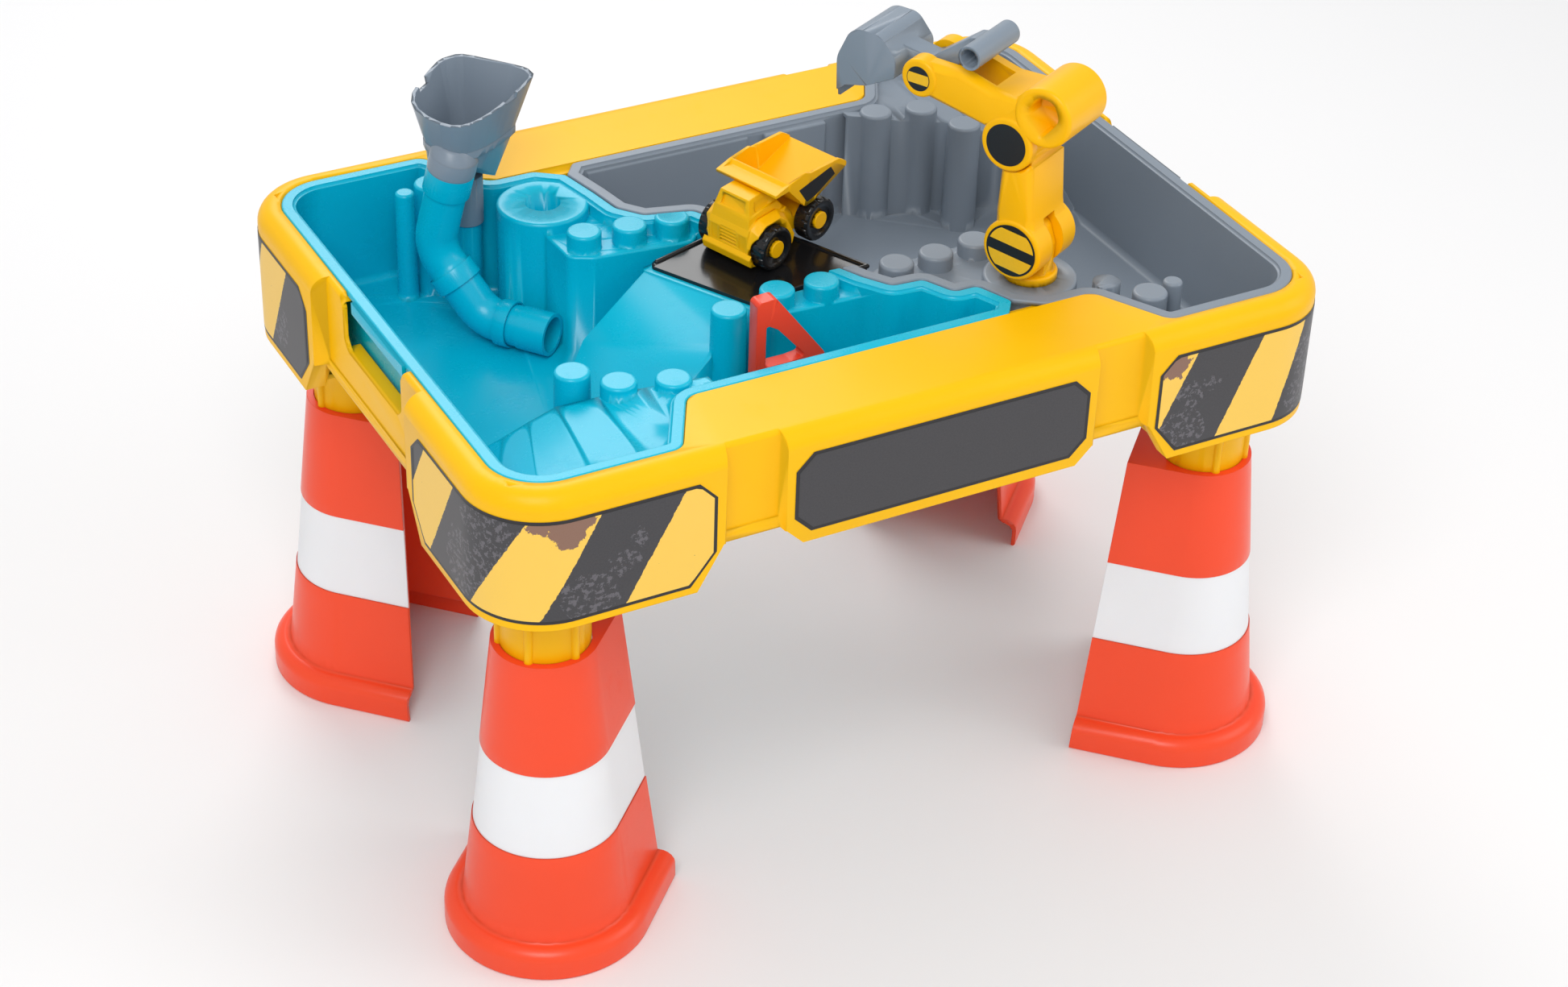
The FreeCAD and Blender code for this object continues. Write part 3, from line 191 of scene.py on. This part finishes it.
def band(tree, s, z, top, bottom, jitter):
    """1 inside a slanting stripe given by its (low, high) s at the top and the bottom of the label."""
    t = math_node(tree, "DIVIDE", math_node(tree, "SUBTRACT", z, STRIPE_LOW), STRIPE_TOP - STRIPE_LOW)
    lo = math_node(tree, "MULTIPLY_ADD", t, top[0] - bottom[0], bottom[0])
    hi = math_node(tree, "MULTIPLY_ADD", t, top[1] - bottom[1], bottom[1])
    a = math_node(tree, "GREATER_THAN", math_node(tree, "ADD", s, jitter), lo)
    b = math_node(tree, "LESS_THAN", math_node(tree, "ADD", s, jitter), hi)
    return math_node(tree, "MULTIPLY", a, b)


def film(name, stripes=(), blots=(), scuffed=()):
    """Charcoal print with slanting yellow stripes, rust-brown blots on them and grey scuffs."""
    mat, tree, bsdf = new_material(name)
    uv, s, z = label_uv(tree)
    big = noise(tree, 45.0, 5.0, 0.6, uv)
    torn = noise(tree, 190.0, 6.0, 0.70, uv)
    speck = noise(tree, 700.0, 4.0, 0.6, uv)
    edge = math_node(tree, "MULTIPLY", math_node(tree, "SUBTRACT", big, 0.5), 0.026)
    ragged = math_node(tree, "MULTIPLY", math_node(tree, "SUBTRACT", torn, 0.5), 0.010)

    def patch(cs, cz, r):
        ds = math_node(tree, "SUBTRACT", s, cs)
        dz = math_node(tree, "SUBTRACT", z, cz)
        d = math_node(tree, "SQRT", math_node(tree, "ADD", math_node(tree, "MULTIPLY", ds, ds),
                                              math_node(tree, "MULTIPLY", dz, dz)))
        d = math_node(tree, "ADD", math_node(tree, "ADD", d, edge), ragged)
        return math_node(tree, "LESS_THAN", d, r)

    col = CHARCOAL
    for cs, cz, r in scuffed:
        m = math_node(tree, "MULTIPLY", patch(cs, cz, r), math_node(tree, "GREATER_THAN", torn, 0.53))
        col = mix_color(tree, m, col, SCUFF)
    jitter = math_node(tree, "MULTIPLY", math_node(tree, "SUBTRACT", torn, 0.5), 0.0035)
    faded = tuple(c * 0.96 for c in PRINT_YELLOW)
    worn = mix_color(tree, math_node(tree, "MULTIPLY", big, 0.5), PRINT_YELLOW, faded)
    holes = math_node(tree, "GREATER_THAN", torn, 0.30)
    painted = None
    for top, bottom in stripes:
        m = math_node(tree, "MULTIPLY", band(tree, s, z, top, bottom, jitter), holes)
        col = mix_color(tree, m, col, worn)
        painted = m if painted is None else math_node(tree, "MAXIMUM", painted, m)
    for cs, cz, r in blots:
        m = math_node(tree, "MULTIPLY", patch(cs, cz, r), painted)
        col = mix_color(tree, m, col, BROWN)
    fine = mix_color(tree, math_node(tree, "MULTIPLY", speck, 0.10), col, (0.35, 0.34, 0.36))
    tree.links.new(fine, bsdf.inputs["Base Color"])
    rough = math_node(tree, "MULTIPLY_ADD", speck, 0.12, 0.36)
    tree.links.new(rough, bsdf.inputs["Roughness"])
    bump(tree, bsdf, speck, 0.10, 0.0001, 0)
    return mat


def flat_film(name, color, rough=0.38):
    mat, tree, bsdf = new_material(name)
    p = position(tree)
    speck = noise(tree, 300.0, 4.0, 0.6, p)
    tree.links.new(mix_color(tree, speck, tuple(c * 0.85 for c in color), color), bsdf.inputs["Base Color"])
    tree.links.new(math_node(tree, "MULTIPLY_ADD", speck, 0.1, rough), bsdf.inputs["Roughness"])
    bump(tree, bsdf, speck, 0.08, 0.0001, 0)
    return mat


BORDER_FILM = flat_film("label_border", BORDER)
DISC_BLACK = flat_film("roundel_black", (0.014, 0.013, 0.014), 0.30)
DISC_YELLOW = flat_film("roundel_yellow", (0.95, 0.55, 0.01), 0.30)


# ---------- smooth copies of the CAD pieces ----------
def copy_node(name, material, angle=32.0):
    src = nodes[name]
    mesh = src.data.copy()
    mesh.name = name + "_look"
    bm = bmesh.new()
    bm.from_mesh(mesh)
    bmesh.ops.remove_doubles(bm, verts=bm.verts, dist=1e-6)
    bm.to_mesh(mesh)
    bm.free()
    mesh.materials.clear()
    mesh.materials.append(material)
    for p in mesh.polygons:
        p.use_smooth = True
        p.material_index = 0
    mesh.set_sharp_from_angle(angle=math.radians(angle))
    ob = bpy.data.objects.new(name + "_look", mesh)
    bpy.context.scene.collection.objects.link(ob)
    mod = ob.modifiers.new("normals", "WEIGHTED_NORMAL")
    mod.keep_sharp = True
    mod.weight = 60
    body = src["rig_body"]
    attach(ob, body)
    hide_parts(name)
    return ob


LOOKS = {"table_frame": YELLOW, "water_tray": BLUE, "sand_tray": GRAY, "bridge": BLACK,
         "pipe_elbow_upper": BLUE, "pipe_elbow_lower": BLUE, "pipe_spout": BLUE,
         "funnel_hopper": GRAY_TOOL, "funnel_post": GRAY_TOOL,
         "excavator_base": YELLOW_TOY, "excavator_boom": YELLOW_TOY, "excavator_stick": YELLOW_TOY,
         "excavator_bucket": GRAY_TOOL, "excavator_pin_low": PIN, "excavator_pin_elbow": PIN,
         "excavator_pin_tip": PIN, "truck_cab": YELLOW_TOY, "truck_bed": YELLOW_TOY, "truck_bed_pin": PIN,
         "truck_front_axle": BLACK, "truck_rear_axle": BLACK, "truck_front_hubs": YELLOW_TOY,
         "truck_rear_hubs": YELLOW_TOY, "tyre_front_near": TYRE, "tyre_front_far": TYRE,
         "tyre_rear_near": TYRE, "tyre_rear_far": TYRE, "spade": RED}
CORNERS = {"front_left": (-1, -1), "front_right": (1, -1), "back_left": (-1, 1), "back_right": (1, 1)}
for corner in CORNERS:
    LOOKS["leg_" + corner] = ORANGE
    LOOKS["leg_band_" + corner] = WHITE
for name, material in LOOKS.items():
    copy_node(name, material)


# ---------- printed labels ----------
def finish_mesh(name, bm, mats, body, node=None):
    mesh = bpy.data.meshes.new(name)
    bm.to_mesh(mesh)
    bm.free()
    for m in mats:
        mesh.materials.append(m)
    ob = bpy.data.objects.new(name, mesh)
    bpy.context.scene.collection.objects.link(ob)
    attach(ob, body)
    if node:
        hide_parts(node)
    return ob


def perimeter_point(s, sx, sy, out):
    """Point on the bumper at distance s from the front end of a corner label."""
    straight = BUMPER_X - BUMPER_R - LABEL_FROM_X
    arc = BUMPER_R * math.pi / 2
    r = BUMPER_R + out
    if s <= straight:
        x, y = LABEL_FROM_X + s, BUMPER_Y + out
    elif s <= straight + arc:
        a = math.pi / 2 - (s - straight) / BUMPER_R
        x = BUMPER_X - BUMPER_R + r * math.cos(a)
        y = BUMPER_Y - BUMPER_R + r * math.sin(a)
    else:
        x, y = BUMPER_X + out, BUMPER_Y - BUMPER_R - (s - straight - arc)
    return sx * x, sy * y


LABEL_LEN = ((BUMPER_X - BUMPER_R - LABEL_FROM_X) + BUMPER_R * math.pi / 2
             + (BUMPER_Y - BUMPER_R - LABEL_TO_Y))
LABEL_TOP, LABEL_FOOT = 0.020, 0.108       # a corner label's edges, measured down from the rim
END_TOP, END_FOOT = 0.035, 0.082           # the corners of its short upright ends
SLOPE_TOP, SLOPE_FOOT = 1.05, 1.25         # slopes of the cuts from those corners to the edges
CUT_STOPS = (0.0145, 0.0210)               # just past where the cuts meet the edges


def corner_outline(s, margin):
    """Low and high edge of the corner label at s, the border margin taken off."""
    top, low = RIM - LABEL_TOP - margin, RIM - LABEL_FOOT + margin
    d = min(s, LABEL_LEN - s) - margin
    return max(low, RIM - END_FOOT - d * SLOPE_FOOT), min(top, RIM - END_TOP + d * SLOPE_TOP)


def corner_label(corner, material):
    sx, sy = CORNERS[corner]
    bm = bmesh.new()
    uv_layer = bm.loops.layers.uv.new("UVMap")
    for margin, out, index in FILM_LAYERS:
        cols = []
        stops = set([margin, LABEL_LEN - margin])
        for k in CUT_STOPS:
            stops.add(k + margin)
            stops.add(LABEL_LEN - k - margin)
        n = 60
        for i in range(n + 1):
            stops.add(margin + (LABEL_LEN - 2 * margin) * i / n)
        for s in sorted(stops):
            lo, hi = corner_outline(s, margin)
            x, y = perimeter_point(s, sx, sy, out)
            cols.append((s, bm.verts.new((x, y, lo)), bm.verts.new((x, y, hi))))
        for (s0, a0, b0), (s1, a1, b1) in zip(cols[:-1], cols[1:]):
            f = bm.faces.new([a0, a1, b1, b0])
            f.smooth = True
            f.material_index = index
            for lp in f.loops:
                lp[uv_layer].uv = (s0 if lp.vert in (a0, b0) else s1, lp.vert.co.z)
    centre = Vector((sx * 0.25, sy * 0.15, 0.38))
    for f in bm.faces:
        f.normal_update()
        if f.normal.dot(f.calc_center_median() - centre) < 0:
            f.normal_flip()
    return finish_mesh("corner_label_look_" + corner, bm, [material, BORDER_FILM], "table",
                       "corner_label_" + corner)


def panel_label(side, sy, material):
    """Long eight-sided label in the middle of the front or back."""
    half_width, cut, cut_share = 0.125, 0.014, 0.41
    top, foot = 0.0185, 0.087               # its edges, measured down from the rim
    bm = bmesh.new()
    uv_layer = bm.loops.layers.uv.new("UVMap")
    for margin, out, index in FILM_LAYERS:
        w, c = half_width - margin, cut - margin * cut_share
        lo, hi = RIM - foot + margin, RIM - top - margin
        pts = [(-w + c, lo), (w - c, lo), (w, lo + c), (w, hi - c), (w - c, hi), (-w + c, hi), (-w, hi - c),
               (-w, lo + c)]
        y = sy * (BUMPER_Y + out)
        vs = [bm.verts.new((x, y, z)) for x, z in pts]
        f = bm.faces.new(vs)
        f.normal_update()
        if f.normal.y * sy < 0:
            f.normal_flip()
        f.material_index = index
        for lp in f.loops:
            lp[uv_layer].uv = (lp.vert.co.x, lp.vert.co.z)
    return finish_mesh("panel_label_look_" + side, bm, [material, BORDER_FILM], "table",
                       "panel_label_" + side)


FILM_LEFT = film("label_film_left",
                 [((-0.05, 0.024), (-0.05, 0.073)), ((0.0895, 0.145), (0.138, 0.196)),
                  ((0.218, 0.271), (0.267, 0.320))],
                 [(0.116, 0.414, 0.018), (0.136, 0.416, 0.010)],
                 [(0.074, 0.372, 0.012), (0.100, 0.348, 0.022), (0.168, 0.392, 0.024), (0.205, 0.360, 0.030),
                  (0.062, 0.388, 0.008), (0.190, 0.405, 0.016)])
FILM_RIGHT = film("label_film_right",
                  [((-0.05, 0.0344), (-0.05, -0.0069)), ((0.0953, 0.1382), (0.0572, 0.1116)),
                   ((0.205, 0.258), (0.160, 0.214))],
                  [(0.012, 0.412, 0.014)],
                  [(0.030, 0.380, 0.012), (0.025, 0.348, 0.022), (0.048, 0.385, 0.008), (0.150, 0.385, 0.022),
                   (0.140, 0.350, 0.016), (0.235, 0.360, 0.020)])
FILM_PANEL = film("label_film_panel")
for corner, (sx, sy) in CORNERS.items():
    corner_label(corner, FILM_LEFT if sx * sy > 0 else FILM_RIGHT)
panel_label("front", -1, FILM_PANEL)
panel_label("back", 1, FILM_PANEL)


# ---------- roundels on the arm ----------
ARM_HALF_WIDTH = 0.0285
HUB_LOW, HUB_ELBOW, HUB_TIP = (0.003, 0.0325), (0.0144, 0.1194), (0.094, 0.150)
PIVOT = Vector((0.147, -0.131, RIM - 0.002))
TURN = math.radians(117.7)
FWD = Vector((math.cos(TURN), math.sin(TURN), 0))
SIDE = Vector((-math.sin(TURN), math.cos(TURN), 0))


def digger_point(x, y, z):
    return PIVOT + FWD * x + SIDE * y + Vector((0, 0, z))


def disc_piece(bm, hub, side, pts, out, index):
    vs = []
    for x, z in pts:
        vs.append(bm.verts.new(digger_point(hub[0] + x, side * (ARM_HALF_WIDTH + out), hub[1] + z)))
    f = bm.faces.new(vs)
    f.normal_update()
    if f.normal.dot(SIDE * side) < 0:
        f.normal_flip()
    f.material_index = index


def ring_points(r, n=48):
    return [(r * math.cos(2 * math.pi * i / n), r * math.sin(2 * math.pi * i / n)) for i in range(n)]


def segment(r, lo, hi, tilt):
    """Part of a disc between two parallel lines, tilted."""
    pts = []
    steps = 12
    a0, a1 = math.asin(max(-1, lo / r)), math.asin(min(1, hi / r))
    for i in range(steps + 1):
        a = a0 + (a1 - a0) * i / steps
        pts.append((r * math.cos(a), r * math.sin(a)))
    for i in range(steps + 1):
        a = math.pi - a1 + (a1 - a0) * i / steps
        pts.append((r * math.cos(a), r * math.sin(a)))
    c, s = math.cos(tilt), math.sin(tilt)
    return [(x * c - z * s, x * s + z * c) for x, z in pts]


def roundels(name, body, node, items):
    bm = bmesh.new()
    for hub, r, shapes in items:
        for side in (-1, 1):
            disc_piece(bm, hub, side, ring_points(r), FILM_BACK, 0)
            for lo, hi, inner, tilt in shapes:
                disc_piece(bm, hub, side, segment(inner, lo, hi, tilt), FILM_FRONT, 1)
    return finish_mesh(name, bm, [DISC_BLACK, DISC_YELLOW], body, node)


roundels("boom_roundels_look", "digger_boom", "boom_roundels",
         [(HUB_LOW, 0.0215, [(0.0045, 0.0165, 0.0198, 0.10), (-0.0165, -0.0045, 0.0198, 0.10)])])
roundels("stick_roundels_look", "digger_stick", "stick_roundels",
         [(HUB_ELBOW, 0.017, []), (HUB_TIP, 0.010, [(-0.0042, 0.0042, 0.0094, 0.0)])])


# ---------- sleeve at the foot of the funnel's bowl ----------
def funnel_fairing():
    """Tapered sleeve that leads from the collar into the bowl, as rings (distance down the axis, radius)."""
    top, foot = Vector((-0.2267, 0.1252, 0.4884)), Vector((-0.2378, 0.1395, 0.4156))
    axis = (foot - top).normalized()
    outer, inner, bend = 0.01915, 0.0128, 0.0118
    levels = [(-0.0010, outer), (-bend, outer), (-0.0142, 0.0188), (-0.0180, 0.0176), (-0.0215, 0.0160),
              (-0.0240, 0.0146), (-0.0246, 0.0132), (-0.0200, inner), (-0.0100, inner)]
    lean = Vector((0.0, 0.30, 0.0))
    across = axis.cross(Vector((0, 1, 0))).normalized()
    ahead = axis.cross(across).normalized()
    n = 64
    bm = bmesh.new()
    rings = []
    for d, r in levels:
        c = top + axis * d + lean * max(0.0, -d - bend)
        rings.append([bm.verts.new(c + across * (r * math.cos(2 * math.pi * i / n))
                                   + ahead * (r * math.sin(2 * math.pi * i / n))) for i in range(n)])
    for a, b in zip(rings[:-1], rings[1:]):
        for i in range(n):
            f = bm.faces.new((a[i], a[(i + 1) % n], b[(i + 1) % n], b[i]))
            f.smooth = True
    bmesh.ops.recalc_face_normals(bm, faces=bm.faces[:])
    return finish_mesh("funnel_fairing", bm, [GRAY_TOOL], "funnel")


funnel_fairing()


# ---------- bare label panels on the dump bed ----------
def truck_labels():
    """Sizes in millimetres here: three corners of the sloping bridge, and the truck's spot on it."""
    low_a, low_b, high = Vector((-104, 29, 424)), Vector((-56, -60, 424)), Vector((46, -64, 434))
    spot_x, spot_y, lift, bed_half_width = -11.5, 10.5, 0.02, 31.12
    up = (low_b - low_a).cross(high - low_a).normalized()
    heading = math.radians(200.8)
    fwd = Vector((math.cos(heading), math.sin(heading), 0))
    fwd = (fwd - up * fwd.dot(up)).normalized()
    side = up.cross(fwd)
    z = low_a.z - (up.x * (spot_x - low_a.x) + up.y * (spot_y - low_a.y)) / up.z
    origin = Vector((spot_x, spot_y, z)) + up * lift
    outline = [(-9.5, 55.5), (-18.0, 40.6), (-27.5, 41.2), (-52.0, 49.2), (-47.5, 58.0)]
    bm = bmesh.new()
    for sgn in (-1, 1):
        wall = origin + side * (sgn * bed_half_width)
        vs = [bm.verts.new((wall + fwd * x + up * z) * 0.001) for x, z in outline]
        f = bm.faces.new(vs)
        f.normal_update()
        if f.normal.dot(side * sgn) < 0:
            f.normal_flip()
    return finish_mesh("truck_bed_labels", bm, [DISC_BLACK], "truck_bed")


truck_labels()


# ---------- floor, light, camera ----------
FLOOR_HALF = 6.0
WORLD_STRENGTH = 0.66
LIGHTS = (  # name, place, what it points at, diameter, power
    ("key", (-1.2, -1.6, 2.4), (0, 0, 0.35), 1.4, 34.0),
    ("fill", (1.9, -1.2, 1.5), (0, 0, 0.35), 1.6, 12.0),
    ("back", (0.4, 2.0, 2.2), (0, 0, 0.40), 1.6, 26.0))


def stage_and_light():
    mat, tree, bsdf = new_material("studio_floor")
    bsdf.inputs["Base Color"].default_value = (0.86, 0.86, 0.865, 1.0)
    bsdf.inputs["Roughness"].default_value = 0.65
    bm = bmesh.new()
    bmesh.ops.create_grid(bm, x_segments=1, y_segments=1, size=FLOOR_HALF)
    mesh = bpy.data.meshes.new("studio_floor")
    bm.to_mesh(mesh)
    bm.free()
    mesh.materials.append(mat)
    floor = bpy.data.objects.new("studio_floor", mesh)
    bpy.context.scene.collection.objects.link(floor)
    world = bpy.data.worlds.new("studio")
    world.use_nodes = True
    bg = world.node_tree.nodes["Background"]
    bg.inputs[0].default_value = (1.0, 1.0, 1.0, 1.0)
    bg.inputs[1].default_value = WORLD_STRENGTH
    bpy.context.scene.world = world
    bpy.context.scene.view_settings.view_transform = "Standard"
    for name, loc, aim, size, power in LIGHTS:
        data = bpy.data.lights.new(name, "AREA")
        data.shape = "DISK"
        data.size = size
        data.energy = power
        ob = bpy.data.objects.new(name, data)
        bpy.context.scene.collection.objects.link(ob)
        ob.location = loc
        ob.rotation_euler = (Vector(aim) - Vector(loc)).to_track_quat("-Z", "Y").to_euler()


# The camera, solved from the photograph's straight edges. Lens and sensor are in millimetres.
SENSOR, LENS, SHIFT_X = 36.0, 72.460082, -0.00154162
AZIMUTH, ELEVATION, ROLL = -29.3883, 34.1983, 2.2065
AIM, DISTANCE = (-0.1675, -0.3190, 0.440), 2.1784


def camera():
    az, el, roll = math.radians(AZIMUTH), math.radians(ELEVATION), math.radians(ROLL)
    back = Vector((math.sin(az) * math.cos(el), -math.cos(az) * math.cos(el), math.sin(el)))
    r0 = Vector((math.cos(az), math.sin(az), 0))
    u0 = back.cross(r0)
    right = r0 * math.cos(roll) + u0 * math.sin(roll)
    up = u0 * math.cos(roll) - r0 * math.sin(roll)
    loc = Vector(AIM) + back * DISTANCE
    data = bpy.data.cameras.new("camera")
    data.lens = LENS
    data.sensor_width = SENSOR
    data.shift_x = SHIFT_X
    data.clip_start = 0.05
    ob = bpy.data.objects.new("camera", data)
    bpy.context.scene.collection.objects.link(ob)
    m = Matrix((right, up, back)).transposed().to_4x4()
    m.translation = loc
    ob.matrix_world = m
    bpy.context.scene.camera = ob


stage_and_light()
camera()
bpy.context.view_layer.update()
